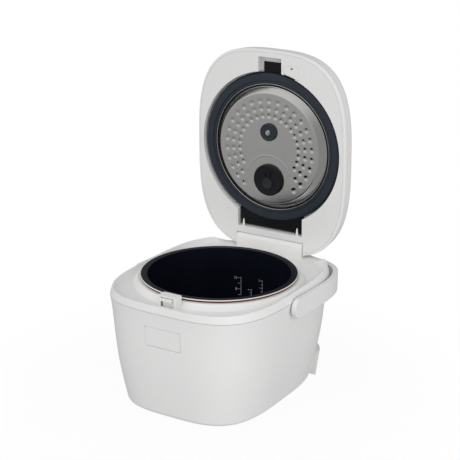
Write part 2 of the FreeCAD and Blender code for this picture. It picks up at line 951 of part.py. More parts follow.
def lid_liner():
    plate = prism(lid_outline(0.0, lid_wall + liner_gap, lid_level), liner_thickness)
    cup_top = recess_level + recess_wall
    liner = plate.fuse(disc(recess_radius + recess_wall, lid_level, cup_top))
    catch_mouth = -block_front - catch_mouth_gap
    catch_front = -block_front - catch_depth_gap
    half = catch_half_width
    wall = recess_wall
    shelf = lid_level + liner_thickness
    liner = liner.fuse(box(-half - wall, half + wall, catch_front - wall, 0, lid_level, cup_top))
    tab = tab_recess_half_width
    liner = liner.fuse(box(-tab - wall, tab + wall, 0, bar_front + wall, lid_level, cup_top))
    outer = notch_half_width + notch_wall
    pocket = box(-outer, outer, notch_front - notch_wall, far, lid_level, notch_level + wall)
    liner = liner.fuse(pocket.common(lid_solid(lid_wall + liner_gap)))
    liner = liner.cut(notch_space())
    liner = liner.cut(disc(recess_radius, 0, recess_level))
    liner = liner.cut(box(-half, half, catch_mouth, 0, 0, recess_level))
    liner = liner.cut(box(-half, half, catch_front, 0, shelf, recess_level))
    liner = liner.cut(box(-tab, tab, 0, bar_front, 0, recess_level))
    bore = hinge_pin_radius + press_gap
    liner = liner.cut(rod_x(bore, -far, far, hinge_back, hinge_level))
    liner = liner.cut(disc(vent_throat_radius, 0, far, 0, valve_y))
    return liner.cut(insert_space(seat_gap))


def insert_space(grow):
    half = insert_width / 2 + grow
    front = -insert_front - grow
    rear = -insert_front + insert_depth + grow
    top = lid_level + liner_thickness + grow
    return box(insert_offset - half, insert_offset + half, front, rear, lid_level - grow, top)


def lid_insert():
    """Small white insert beside the catch, with a release slot."""
    insert = insert_space(0.0).cut(disc(recess_radius + recess_wall + seat_gap, 0, far))
    half = insert_slot_width / 2
    front = -insert_front + insert_slot_depth
    slot = box(insert_offset - half, insert_offset + half, front, front + insert_slot_depth, 0, far)
    return insert.cut(slot)


def latch_keeper():
    """Steel strip on the edge of the liner that the latch nose grips."""
    low = lid_level + liner_thickness
    rear = -block_front - catch_mouth_gap
    half = catch_half_width - seat_gap
    front = max(rear - keeper_depth, -block_front - catch_depth_gap + seat_gap)
    return box(-half, half, front, rear, low, low + keeper_thickness)


def inner_lid_pegs():
    level = lid_level + peg_rise
    solids = []
    for x in (-peg_x, peg_x):
        root = V(x, bar_front, level)
        solids.append(Part.makeCone(peg_radius, peg_tip_radius, peg_length, root, V(0, -1, 0)))
    return Part.makeCompound(solids)


def hinge_pin():
    half = barrel_half_length + hinge_pin_grip
    return rod_x(hinge_pin_radius, -half, half, hinge_back, hinge_level)


def lid_springs():
    """Two torsion springs round the hinge pin, in the tower's hollows."""
    length = pocket_outer_x - pocket_inner_x - 2 * seat_gap
    solids = []
    for x in (-pocket_outer_x + seat_gap, pocket_inner_x + seat_gap):
        spring = coil(torsion_spring_radius, torsion_spring_wire / 2, length, torsion_spring_turns)
        spring.rotate(V(0, 0, 0), V(0, 1, 0), 90)
        spring.translate(V(x, hinge_back, hinge_level))
        solids.append(spring)
    return Part.makeCompound(solids)


# Control panel on the lid's top

def panel_low():
    return lid_skin_level - seat_gap - panel_flange_thickness


def display_space(grow, low, high):
    half = display_half_width + grow
    front = -panel_front + display_margin - grow
    return box(-half, half, front, front + display_depth + 2 * grow, low, high)


def key_places():
    y = -panel_front + panel_depth - key_margin
    return [((key - (key_count - 1) / 2) * key_pitch, y) for key in range(key_count)]


def control_panel():
    low = panel_low()
    panel = rounded_panel(0.0, low, lid_top_level)
    panel = panel.fuse(rounded_panel(panel_flange, low, low + panel_flange_thickness))
    panel = panel.cut(display_space(seat_gap, low - overrun, far))
    for x, y in key_places():
        panel = panel.cut(disc(key_radius + seat_gap, low - overrun, far, x, y))
    for x, y in panel_posts():
        panel = panel.fuse(disc(board_post_radius, low - board_hang, low, x, y))
    return panel


def panel_posts():
    x = panel_half_width - board_post_inset
    front = -panel_front + board_post_inset
    rear = -panel_front + panel_depth - board_post_inset
    return [(-x, front), (x, front), (-x, rear), (x, rear)]


def control_board():
    top = panel_low() - board_hang
    half = panel_half_width
    return box(-half, half, -panel_front, -panel_front + panel_depth, top - board_thickness, top)


def display_window():
    low = panel_low()
    window = display_space(0.0, low, lid_top_level)
    return window.fuse(display_space(display_flange, low - display_flange, low))


def panel_key(place):
    x, y = place
    foot = panel_low() - board_hang + key_foot_gap
    return disc(key_radius, foot, lid_top_level + key_proud, x, y)


# Removable steam vent above the steam valve

def vent_well():
    """Cup under the lid's top that drains back through a throat to the valve."""
    low = lid_skin_level - vent_depth
    inner = vent_radius + seat_gap
    cup = disc(inner + vent_wall, low - vent_floor, lid_skin_level - seat_gap, 0, valve_y)
    cup = cup.cut(disc(inner, low, far, 0, valve_y))
    throat_low = recess_level + recess_wall
    cup = cup.fuse(disc(vent_throat_radius + vent_wall, throat_low, low, 0, valve_y))
    return cup.cut(disc(vent_throat_radius, 0, far, 0, valve_y))


def steam_vent_cap():
    low = lid_skin_level - vent_depth + seat_gap
    top = lid_top_level + vent_proud
    cap = disc(vent_radius, low, top, 0, valve_y)
    cap = cap.cut(disc(vent_radius - vent_wall, low - overrun, top - vent_floor, 0, valve_y))
    for step in (-1, 0, 1):
        y = valve_y + step * vent_slot_spacing
        y0 = y - vent_slot_half_width
        y1 = y + vent_slot_half_width
        cap = cap.cut(box(-vent_slot_half_length, vent_slot_half_length, y0, y1, low, top + overrun))
    return cap


# Inner lid: black carrier, gasket, dimpled steel plate, sensor and steam valve

def inner_lid_carrier():
    top = carrier_level + carrier_thickness
    carrier = disc(carrier_radius, carrier_level, top)
    half = carrier_tab_half_width
    roll = carrier_tab_thickness / 2
    rear = bar_front - carrier_tab_gap - roll
    tab = box(-half, half, 0, rear, top - carrier_tab_thickness, top)
    tab = tab.fuse(rod_x(roll, -half, half, rear, top - roll))
    tab = tab.cut(disc(gasket_outer_radius + plate_gap, 0, carrier_level))
    carrier = carrier.fuse(tab)
    half = finger_tab_half_width
    low = top - finger_tab_sink
    finger = box(-half, half, -finger_tab_reach, 0, low, low + finger_tab_thickness)
    finger = finger.cut(disc(carrier_radius - pot_flange_width, 0, far))
    carrier = carrier.fuse(finger)
    return carrier.cut(disc(vent_throat_radius, 0, far, 0, valve_y))


def inner_lid_gasket():
    top = carrier_level
    low = pot_rim_level + gasket_rim_gap
    inner = plate_radius + plate_gap
    lip = gasket_outer_radius - gasket_band
    return turned([
        (inner, top), (inner, low + gasket_step), (lip, low + gasket_step), (lip, low),
        (gasket_outer_radius, low), (gasket_outer_radius, top),
    ])


def inner_lid_plate():
    top = carrier_level
    low = plate_face_level
    thick = plate_thickness
    plate = turned([
        (0, low), (plate_face_radius, low), (plate_shoulder_radius, top - thick),
        (plate_radius, top - thick), (plate_radius, top), (plate_shoulder_radius - thick, top),
        (plate_face_radius - thick, low + thick), (0, low + thick),
    ])
    plate = plate.cut(disc(sensor_neck_radius + seat_gap, 0, far, 0, sensor_y))
    return plate.cut(disc(valve_neck_radius + seat_gap, 0, far, 0, valve_y))


def sensor_cap():
    low = plate_face_level - sensor_height
    cap = disc(sensor_radius, low, plate_face_level, 0, sensor_y)
    cap = cap.fuse(disc(sensor_neck_radius, low, carrier_level, 0, sensor_y))
    bore_end = low + sensor_pin_length - sensor_pin_proud
    return cap.cut(disc(sensor_pin_radius + press_gap, low - overrun, bore_end, 0, sensor_y))


def sensor_pin():
    low = plate_face_level - sensor_height - sensor_pin_proud
    return disc(sensor_pin_radius, low, low + sensor_pin_length, 0, sensor_y)


def steam_valve():
    low = plate_face_level - valve_height
    valve = disc(valve_radius, low, plate_face_level, 0, valve_y)
    valve = valve.fuse(disc(valve_hub_radius, low - valve_hub_height, low + overrun, 0, valve_y))
    valve = valve.fuse(disc(valve_neck_radius, low, carrier_level, 0, valve_y))
    return valve.cut(disc(valve_hole_radius, 0, far, 0, valve_y))


body_pieces = {
    "outer_shell": outer_shell,
    "top_deck": top_deck,
    "base_plate": base_plate,
    "feet": feet,
    "rear_housing": rear_housing,
    "power_inlet": power_inlet,
    "inlet_pins": inlet_pins,
    "heat_chamber": heat_chamber,
    "chamber_screws": chamber_screws,
    "heating_plate": heating_plate,
    "band_heater": band_heater,
    "thermostat_holder": thermostat_holder,
    "thermostat_cap": thermostat_cap,
    "thermostat_spring": thermostat_spring,
    "power_board": power_board,
    "power_transformer": power_transformer,
    "latch_bracket": latch_bracket,
    "latch_pin": latch_pin,
    "latch_spring": latch_spring,
    "latch_lever": latch_lever,
    "release_button": release_button,
    "carry_handle": carry_handle,
    "handle_pivots": handle_pivots,
    "handle_washers": handle_washers,
    "inner_pot": inner_pot,
    "lid_springs": lid_springs,
}

lid_pieces = {
    "lid_cover": lid_cover,
    "lid_liner": lid_liner,
    "lid_insert": lid_insert,
    "latch_keeper": latch_keeper,
    "inner_lid_pegs": inner_lid_pegs,
    "hinge_pin": hinge_pin,
    "control_panel": control_panel,
    "control_board": control_board,
    "display_window": display_window,
    "vent_well": vent_well,
    "steam_vent_cap": steam_vent_cap,
    "inner_lid_carrier": inner_lid_carrier,
    "inner_lid_gasket": inner_lid_gasket,
    "inner_lid_plate": inner_lid_plate,
    "sensor_cap": sensor_cap,
    "sensor_pin": sensor_pin,
    "steam_valve": steam_valve,
}

os.makedirs("parts", exist_ok=True)
for name, make in body_pieces.items():
    make().exportStep("parts/" + name + ".step")
for name, make in lid_pieces.items():
    open_lid(make()).exportStep("parts/" + name + ".step")
for number, place in enumerate(key_places(), 1):
    open_lid(panel_key(place)).exportStep("parts/panel_key_" + str(number) + ".step")
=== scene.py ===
import bpy
import bmesh
import json
import math
from mathutils import Matrix, Vector


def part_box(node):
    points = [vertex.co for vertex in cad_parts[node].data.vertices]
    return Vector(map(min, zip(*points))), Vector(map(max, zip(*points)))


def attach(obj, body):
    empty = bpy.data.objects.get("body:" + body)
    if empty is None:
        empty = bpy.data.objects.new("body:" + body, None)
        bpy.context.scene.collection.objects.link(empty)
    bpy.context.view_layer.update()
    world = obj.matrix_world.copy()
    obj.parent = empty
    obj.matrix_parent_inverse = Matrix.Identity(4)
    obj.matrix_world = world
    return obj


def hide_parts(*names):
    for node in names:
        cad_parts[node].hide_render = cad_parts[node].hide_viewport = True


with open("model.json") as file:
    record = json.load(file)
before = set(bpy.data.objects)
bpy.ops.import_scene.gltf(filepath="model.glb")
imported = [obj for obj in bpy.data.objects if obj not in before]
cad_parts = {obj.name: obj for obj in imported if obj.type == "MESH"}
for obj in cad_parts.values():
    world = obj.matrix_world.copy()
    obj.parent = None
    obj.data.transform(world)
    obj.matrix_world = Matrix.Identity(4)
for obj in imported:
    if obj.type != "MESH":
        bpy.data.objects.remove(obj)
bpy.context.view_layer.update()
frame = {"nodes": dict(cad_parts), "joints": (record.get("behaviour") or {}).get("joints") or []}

# Feet
# Four light grey rubber buttons stuck to the underside of the base plate.
# Their edges are rounded, and the rubber is dull.


def material(name, colour, rough, metal=0.0, spread=0.06, grain=900.0, grit=0.02, tint=0.05, shine=0.5):
    """Moulded or sheet finish: slow blotches in gloss and shade over a fine grain."""
    finish = bpy.data.materials.new(name)
    finish.use_nodes = True
    tree = finish.node_tree
    shader = tree.nodes["Principled BSDF"]
    shader.inputs["Metallic"].default_value = metal
    shader.inputs["Specular IOR Level"].default_value = shine
    place = tree.nodes.new("ShaderNodeTexCoord")
    blotch = tree.nodes.new("ShaderNodeTexNoise")
    blotch.inputs["Scale"].default_value = 22.0
    blotch.inputs["Detail"].default_value = 4.0
    tree.links.new(place.outputs["Object"], blotch.inputs["Vector"])
    gloss = tree.nodes.new("ShaderNodeMapRange")
    gloss.inputs["To Min"].default_value = rough - spread
    gloss.inputs["To Max"].default_value = rough + spread
    tree.links.new(blotch.outputs["Fac"], gloss.inputs["Value"])
    tree.links.new(gloss.outputs["Result"], shader.inputs["Roughness"])
    shade = tree.nodes.new("ShaderNodeMix")
    shade.data_type = "RGBA"
    shade.inputs["A"].default_value = [channel * (1 - tint) for channel in colour] + [1]
    shade.inputs["B"].default_value = [min(1, channel * (1 + tint)) for channel in colour] + [1]
    tree.links.new(blotch.outputs["Fac"], shade.inputs["Factor"])
    tree.links.new(shade.outputs["Result"], shader.inputs["Base Color"])
    fine = tree.nodes.new("ShaderNodeTexNoise")
    fine.inputs["Scale"].default_value = grain
    fine.inputs["Detail"].default_value = 2.0
    tree.links.new(place.outputs["Object"], fine.inputs["Vector"])
    bump = tree.nodes.new("ShaderNodeBump")
    bump.inputs["Strength"].default_value = grit
    bump.inputs["Distance"].default_value = 0.0004
    tree.links.new(fine.outputs["Fac"], bump.inputs["Height"])
    tree.links.new(bump.outputs["Normal"], shader.inputs["Normal"])
    return finish


def soften(shape, width, steps=2):
    """Round every edge of a shape that turns by more than 28 degrees."""
    sharp = math.radians(28)
    edges = [edge for edge in shape.edges if edge.is_manifold and edge.calc_face_angle() > sharp]
    bmesh.ops.bevel(shape, geom=edges, offset=width, affect="EDGES", segments=steps, profile=0.5,
                    material=-1, clamp_overlap=True)


def spun(profile, steps=96, closed=False, x=0.0, y=0.0):
    """Turn a profile of (radius, height) in metres about an upright axis."""
    shape = bmesh.new()
    corners = [shape.verts.new((radius, 0, height)) for radius, height in profile]
    pairs = list(zip(corners, corners[1:]))
    if closed:
        pairs.append((corners[-1], corners[0]))
    edges = [shape.edges.new(pair) for pair in pairs]
    bmesh.ops.spin(shape, geom=corners + edges, cent=(0, 0, 0), axis=(0, 0, 1),
                   angle=2 * math.pi, steps=steps, use_merge=True)
    bmesh.ops.remove_doubles(shape, verts=shape.verts, dist=1e-6)
    bmesh.ops.recalc_face_normals(shape, faces=shape.faces)
    bmesh.ops.translate(shape, vec=(x, y, 0), verts=shape.verts)
    return shape


def piece(name, shape, finishes, body, slot, *nodes, crease=35):
    """Make a shape a piece that rides on a body and stands for the nodes named."""
    mesh = bpy.data.meshes.new(name)
    shape.to_mesh(mesh)
    shape.free()
    for finish in finishes:
        mesh.materials.append(finish)
    mesh.shade_smooth()
    mesh.set_sharp_from_angle(angle=math.radians(crease))
    made = bpy.data.objects.new(name, mesh)
    bpy.context.scene.collection.objects.link(made)
    even = made.modifiers.new("even_shading", "WEIGHTED_NORMAL")
    even.keep_sharp = True
    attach(made, body)
    if nodes:
        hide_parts(*nodes)


def join(shape, other):
    """Add another shape to a shape and free the other."""
    passing = bpy.data.meshes.new("passing")
    other.to_mesh(passing)
    other.free()
    shape.from_mesh(passing)
    bpy.data.meshes.remove(passing)


foot_rubber = material("foot_rubber", (0.50, 0.50, 0.49), rough=0.7, grain=1500, grit=0.15)
foot_low, foot_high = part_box("feet")
foot_r = 0.010
foot_floor_r = 0.0085
foot_rounding = 0.0009
foot_profile = [(0, 0), (foot_floor_r, 0), (foot_r, foot_high.z), (0, foot_high.z)]
feet = bmesh.new()
for x in (foot_low.x + foot_r, foot_high.x - foot_r):
    for y in (foot_low.y + foot_r, foot_high.y - foot_r):
        foot = spun(foot_profile, steps=48, x=x, y=y)
        soften(foot, foot_rounding)
        join(feet, foot)
piece("rubber_feet", feet, [foot_rubber], "base", "foot_rubber", "feet")

# Base plate
# A grey heat-resistant moulding that closes the body below, with cooling slots
# and the posts for the heat chamber and the power board.


def softened(node, width, steps=2):
    """A merged copy of a solid with its sharp edges rounded."""
    shape = bmesh.new()
    shape.from_mesh(frame["nodes"][node].data)
    bmesh.ops.remove_doubles(shape, verts=shape.verts, dist=1e-6)
    bmesh.ops.dissolve_limit(shape, angle_limit=math.radians(0.05), verts=shape.verts, edges=shape.edges)
    soften(shape, width, steps)
    return shape


def finish_node(node, finish):
    """Give a solid that is right as it is a better finish."""
    mesh = frame["nodes"][node].data
    mesh.materials.clear()
    mesh.materials.append(finish)


grey_base = material("grey_base", (0.36, 0.36, 0.36), rough=0.6, grain=1200, grit=0.12)
finish_node("base_plate", grey_base)

# Heat chamber and heater
# A pressed steel cup on three posts, a cast aluminium heating plate in its floor,
# a band heater round its wall, and the sprung thermostat that touches the pot.

pressed_steel = material("pressed_steel", (0.52, 0.52, 0.51), rough=0.34, metal=1.0, spread=0.08,
                         grain=600, grit=0.05)
plain_steel = material("plain_steel", (0.55, 0.55, 0.55), rough=0.3, metal=1.0, spread=0.05,
                       grain=800, grit=0.03)
cast_aluminium = material("cast_aluminium", (0.62, 0.62, 0.63), rough=0.42, metal=1.0, spread=0.08,
                          grain=700, grit=0.12)
for node in ("heat_chamber", "band_heater"):
    finish_node(node, pressed_steel)
for node in ("chamber_screws", "thermostat_spring"):
    finish_node(node, plain_steel)
for node in ("heating_plate", "thermostat_cap"):
    finish_node(node, cast_aluminium)
finish_node("thermostat_holder", grey_base)

# Power board
# A green circuit board on four posts of the base plate, with a lacquered iron
# transformer standing on it.

board_green = material("board_green", (0.03, 0.14, 0.06), rough=0.4, grain=300, grit=0.08)
lacquered_iron = material("lacquered_iron", (0.10, 0.10, 0.11), rough=0.5, grain=400, grit=0.1)
finish_node("power_board", board_green)
finish_node("power_transformer", lacquered_iron)

# Body shell
# One deep moulding in glossy white plastic, tapered and slightly barrelled, with
# the button's window at the front and the handle's bores at the sides.

white_gloss = material("white_gloss", (0.84, 0.84, 0.835), rough=0.33, spread=0.05,
                       grain=1400, grit=0.02, tint=0.012)
piece("body_shell", softened("outer_shell", width=0.0006), [white_gloss], "base", "white_gloss",
      "outer_shell")

# Rear housing and power inlet
# A white moulding fixed to the lower rear, round a black socket with three brass
# pins for the mains lead.

piece("inlet_housing", softened("rear_housing", width=0.0012), [white_gloss], "base", "white_gloss",
      "rear_housing")
black_plastic = material("black_plastic", (0.005, 0.005, 0.006), rough=0.42, spread=0.08,
                         grain=1000, grit=0.05, shine=0.2)
piece("inlet_socket", softened("power_inlet", width=0.0005), [black_plastic], "base", "black_plastic",
      "power_inlet")
brass = material("drawn_brass", (0.62, 0.43, 0.16), rough=0.28, metal=1.0, grain=900, grit=0.03)
piece("socket_pins", softened("inlet_pins", width=0.0006), [brass], "base", "brass_pins", "inlet_pins")

# Top deck
# The white frame that closes the body above: a rim, a sunken valley and a sloped
# collar round the pot, with the hinge barrel behind and the latch block in front.

piece("deck_frame", softened("top_deck", width=0.0008), [white_gloss], "base", "white_gloss", "top_deck")

# Latch and release button
# A sprung white lever on a steel pin, whose nose holds the lid's pressed steel
# keeper, and the flush front button that pushes it back.

for node in ("latch_bracket", "latch_keeper"):
    finish_node(node, pressed_steel)
for node in ("latch_pin", "latch_spring"):
    finish_node(node, plain_steel)
piece("latch_nose_lever", softened("latch_lever", width=0.0005), [white_gloss], "latch", "white_gloss",
      "latch_lever")
piece("front_button", softened("release_button", width=0.0004), [white_gloss], "button", "white_gloss",
      "release_button")

# Carrying handle
# A white moulded band bent round the back of the body, with round ends that swing
# on two steel pins in the body's sides.

for node in ("handle_pivots", "handle_washers"):
    finish_node(node, plain_steel)
piece("handle_band", softened("carry_handle", width=0.0016, steps=3), [white_gloss], "handle",
      "white_gloss", "carry_handle")

# Inner pot
# Pressed aluminium with a flat flange, blue-black nonstick inside and on the
# flange, a bare turned edge painted near white as a painted highlight, and a
# copper-coloured coat outside.

nonstick = material("nonstick_coat", (0.006, 0.007, 0.013), rough=0.34, spread=0.06,
                    grain=700, grit=0.08, tint=0.3, shine=0.06)
# The bare turned edge is near white and half diffuse: its metal plus a painted highlight.
turned_edge_and_highlight = material("turned_edge_and_highlight", (0.92, 0.91, 0.90), rough=0.25, metal=0.4, grain=600, grit=0.02)
copper_coat = material("copper_coat", (0.46, 0.11, 0.02), rough=0.42, metal=0.1, grain=700, grit=0.06)
pot_low, pot_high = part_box("inner_pot")
pot_r = pot_high.x
rim = pot_high.z
flange_wide = 0.0085
metal_thick = 0.002
wall_out = pot_r - flange_wide
wall_in = wall_out - metal_thick
corner_r = 0.026
corner_steps = 12
inside = [(0, pot_low.z + metal_thick)]
outside = [(0, pot_low.z)]
for step in range(corner_steps + 1):
    turn = math.pi / 2 * step / corner_steps
    inside.append((wall_in - (corner_r - metal_thick) * (1 - math.sin(turn)),
                   pot_low.z + metal_thick + (corner_r - metal_thick) * (1 - math.cos(turn))))
    outside.append((wall_out - corner_r * (1 - math.sin(turn)),
                    pot_low.z + corner_r * (1 - math.cos(turn))))
edge_round = 0.0007
lip_round = 0.0006
edge_low = 0.0014
under_round = 0.0004
under_low = 0.0024
flange_top = [(wall_in, rim - lip_round), (wall_in + lip_round, rim), (pot_r - edge_round, rim)]
flange_side = [(pot_r, rim - edge_round), (pot_r, rim - edge_low), (pot_r - lip_round, rim - metal_thick)]
flange_under = [(wall_out + under_round, rim - metal_thick), (wall_out, rim - under_low)]
pot = spun(inside + flange_top + flange_side + flange_under + outside[::-1], steps=160)
# The band of the turned edge that takes the near-white painted highlight.
bright_from = 0.0003
bright_to = 0.0015
coat_from = 0.001
for face in pot.faces:
    spot = face.calc_center_median()
    reach = math.hypot(spot.x, spot.y)
    faces_out = face.normal.dot(Vector((spot.x, spot.y, 0))) > 0.0
    faces_down = face.normal.z < -0.2
    if reach > pot_r - edge_round and rim - bright_to < spot.z < rim - bright_from:
        face.material_index = 1
    elif faces_down or (faces_out and reach > wall_in + coat_from and spot.z < rim - coat_from):
        face.material_index = 2
piece("cooking_pot", pot, [nonstick, turned_edge_and_highlight, copper_coat], "pot", "pot_nonstick", "inner_pot")

# Level scale
# White marks printed inside the pot: upright lines with ticks, and plain numbers
# for the cups.

mark_white = material("mark_white", (0.75, 0.76, 0.78), rough=0.5, grain=900, grit=0.05)
mark_proud = 0.00015
mark_width = 0.0008
line_over = 0.002
number_gap = 0.001


def printed(shape, turn, height):
    """Wrap flat marks, drawn in X and Y, round the pot's inner wall."""
    for corner_point in shape.verts:
        angle = math.radians(turn) - corner_point.co.x / wall_in
        reach = wall_in - mark_proud - corner_point.co.z
        level = height + corner_point.co.y
        corner_point.co = (reach * math.cos(angle), reach * math.sin(angle), level)


def bar(shape, x0, x1, y0, y1):
    """One flat printed bar, cut fine enough to bend."""
    made = bmesh.ops.create_grid(shape, x_segments=6, y_segments=1, size=0.5)["verts"]
    bmesh.ops.scale(shape, vec=(x1 - x0, y1 - y0, 1), verts=made)
    bmesh.ops.translate(shape, vec=((x0 + x1) / 2, (y0 + y1) / 2, 0), verts=made)


def scale_marks(name, turn, low, ticks, pitch, tick_length, numbers, size):
    """An upright line with ticks to its left and numbers beside some of them."""
    marks = bmesh.new()
    tall = pitch * (ticks - 1)
    bar(marks, -mark_width / 2, mark_width / 2, 0, tall + line_over)
    for tick in range(ticks):
        bar(marks, -tick_length, 0, tick * pitch, tick * pitch + mark_width)
    for tick, words in numbers:
        letters = bpy.data.curves.new("digits", "FONT")
        letters.body = words
        letters.size = size
        letters.align_x = "RIGHT"
        letters.align_y = "CENTER"
        holder = bpy.data.objects.new("digits", letters)
        flat = bpy.data.meshes.new_from_object(holder)
        flat.transform(Matrix.Translation((-(tick_length + number_gap), tick * pitch, 0)))
        marks.from_mesh(flat)
        bpy.data.objects.remove(holder)
        bpy.data.meshes.remove(flat)
    printed(marks, turn, low)
    bmesh.ops.solidify(marks, geom=marks.faces[:], thickness=mark_proud / 2)
    piece(name, marks, [mark_white], "pot", "pot_nonstick")


scale_marks("cup_scale", turn=103.7, low=0.1165, ticks=4, pitch=0.0097, tick_length=0.0055,
            numbers=((3, "10"), (1, "8")), size=0.0062)
scale_marks("porridge_scale", turn=83.5, low=0.128, ticks=4, pitch=0.0062, tick_length=0.004,
            numbers=((3, "2"), (1, "1")), size=0.0046)
scale_marks("mixed_scale", turn=94.0, low=0.118, ticks=3, pitch=0.0046, tick_length=0.004,
            numbers=((2, "4"),), size=0.0042)

# Lid hinge
# A steel pin through the barrel at the back of the deck, with two coiled springs
# round it that swing the lid open.

for node in ("hinge_pin", "lid_springs"):
    finish_node(node, plain_steel)

# Lid shell and liner
# A domed white cover clipped over a white liner, which carries the round recess
# for the inner lid, the hinge notch, and the catch at the front edge.

white_liner = material("white_liner", (0.80, 0.80, 0.795), rough=0.36, spread=0.05,
                       grain=1400, grit=0.02, tint=0.012)
piece("lid_dome", softened("lid_cover", width=0.0008), [white_gloss], "lid", "white_gloss", "lid_cover")
piece("lid_lining", softened("lid_liner", width=0.0007), [white_liner], "lid", "white_liner", "lid_liner")
piece("catch_insert", softened("lid_insert", width=0.0003), [white_liner], "lid", "white_liner",
      "lid_insert")
piece("lining_pegs", softened("inner_lid_pegs", width=0.0005), [white_liner], "lid", "white_liner",
      "inner_lid_pegs")

# Control panel
# A pale grey plastic panel let into the lid's top, with a dark clear window and
# four soft keys over the board.

finish_node("control_board", board_green)
panel_grey = material("panel_grey", (0.50, 0.51, 0.52), rough=0.35, grain=1200, grit=0.03, tint=0.03)
display_dark = material("display_dark", (0.02, 0.026, 0.024), rough=0.12, grain=400, grit=0.005, tint=0.2)
key_grey = material("key_grey", (0.30, 0.31, 0.32), rough=0.5, grain=1300, grit=0.06)
piece("panel_face", softened("control_panel", width=0.0004), [panel_grey], "lid", "panel_grey",
      "control_panel")
piece("panel_window", softened("display_window", width=0.0004), [display_dark], "lid", "display_dark",
      "display_window")
for number in range(1, 5):
    node = "panel_key_" + str(number)
    body = "key_" + str(number)
    piece("soft_key_" + str(number), softened(node, width=0.0005, steps=3), [key_grey], body, "key_grey",
          node)

# Steam vent
# A grey plastic cap with three slots that lifts out for washing, in a white well
# that drains to the valve.

finish_node("vent_well", white_liner)
piece("vent_cap", softened("steam_vent_cap", width=0.0008, steps=3), [panel_grey], "steam_vent",
      "panel_grey", "steam_vent_cap")

# Inner lid carrier and gasket
# A black moulding that snaps into the liner, ringed by a blue-grey silicone gasket
# whose wide lip seals on the pot's rim.

hinge = next(joint for joint in frame["joints"] if joint["name"] == "lid_hinge")
axle = Vector(hinge["pos_m"])
swing = math.radians(hinge["range_deg"][1] - hinge["range_deg"][0])
opened = Matrix.Translation(axle) @ Matrix.Rotation(-swing, 4, "X") @ Matrix.Translation(-axle)


def in_lid(shape):
    """Swing a shape drawn on the closed lid to the open one."""
    bmesh.ops.transform(shape, matrix=opened, verts=shape.verts)
    return shape


piece("carrier", softened("inner_lid_carrier", width=0.0006), [black_plastic], "inner_lid", "black_plastic",
      "inner_lid_carrier")
silicone = material("gasket_silicone", (0.022, 0.029, 0.040), rough=0.5, spread=0.08,
                    grain=900, grit=0.06, tint=0.15, shine=0.3)
seal_low = 0.1963
seal_top = 0.2005
seal_in = 0.1045
seal_lip = 0.110
seal_out = 0.121
gasket = spun([
    (seal_in, seal_top), (seal_in, seal_low + 0.0022), (seal_in + 0.0008, seal_low + 0.0016),
    (seal_lip - 0.0022, seal_low + 0.0016), (seal_lip - 0.0016, seal_low + 0.0020),
    (seal_lip - 0.0010, seal_low + 0.0014), (seal_lip - 0.0004, seal_low + 0.0002),
    (seal_lip + 0.0004, seal_low), (seal_out - 0.0030, seal_low + 0.0001),
    (seal_out - 0.0010, seal_low + 0.0006), (seal_out, seal_low + 0.0018), (seal_out, seal_top),
], steps=160, closed=True)
piece("gasket_ring", in_lid(gasket), [silicone], "inner_lid", "gasket_silicone", "inner_lid_gasket")

# Dimpled steel plate
# A shallow drum of brushed stainless sheet with three rows of pressed dimples and a
# faint arc above the steam valve, clamped to the carrier by a bright bead.

lid_steel = material("lid_steel", (0.57, 0.566, 0.557), rough=0.2, metal=1.0, spread=0.05,
                     grain=500, grit=0.0, tint=0.03)
tree = lid_steel.node_tree
streak = tree.nodes.new("ShaderNodeMapping")
streak.inputs["Scale"].default_value = (18, 1, 2600)
streaks = tree.nodes.new("ShaderNodeTexNoise")
streaks.inputs["Scale"].default_value = 1.0
streaks.inputs["Detail"].default_value = 3.0
tree.links.new(tree.nodes["Texture Coordinate"].outputs["Object"], streak.inputs["Vector"])
tree.links.new(streak.outputs["Vector"], streaks.inputs["Vector"])
brushed = tree.nodes.new("ShaderNodeBump")
brushed.inputs["Strength"].default_value = 0.04
brushed.inputs["Distance"].default_value = 0.0002
tree.links.new(streaks.outputs["Fac"], brushed.inputs["Height"])
tree.links.new(brushed.outputs["Normal"], tree.nodes["Principled BSDF"].inputs["Normal"])

face_level = 0.190
sheet = 0.0008
face_r = 0.090
shoulder_r = 0.0996
bead_in = 0.1026
bead_out = 0.1043
bead_high = 0.0020
rings = 96
shoulder_level = seal_top - sheet
profile = [(face_r * step / rings, face_level) for step in range(rings + 1)]
profile += [(face_r + 0.0007, face_level + 0.0002), (face_r + 0.0012, face_level + 0.0006),
            (face_r + 0.0018, face_level + 0.0012), (shoulder_r - 0.0016, shoulder_level - 0.0016),
            (shoulder_r - 0.0010, shoulder_level - 0.0010),
            (shoulder_r - 0.0005, shoulder_level - 0.0003),
            (shoulder_r, shoulder_level), (shoulder_r, seal_top), (0, seal_top)]
plate = spun(profile, steps=400)
dimple_r = 0.0050
dimple_deep = 0.0013
dimple_turn = 12
dimples_from = 0.045
dimples_to = 0.088
flat_margin = 0.001
dimples = []
for row_r, each_way in ((0.078, 12), (0.066, 11), (0.054, 10)):
    for step in range(-each_way, each_way + 1):
        angle = math.radians(dimple_turn * step)
        dimples.append(Vector((row_r * math.sin(angle), -row_r * math.cos(angle))))
valve_y = 0.0515
arc_r = 0.040
arc_wide = 0.0016
arc_high = 0.00025
arc_end = -0.012


def pressing(offset, reach):
    """Depth of a pressing, from 1 at its middle to 0 at its reach."""
    return 0.5 + 0.5 * math.cos(math.pi * offset / reach)


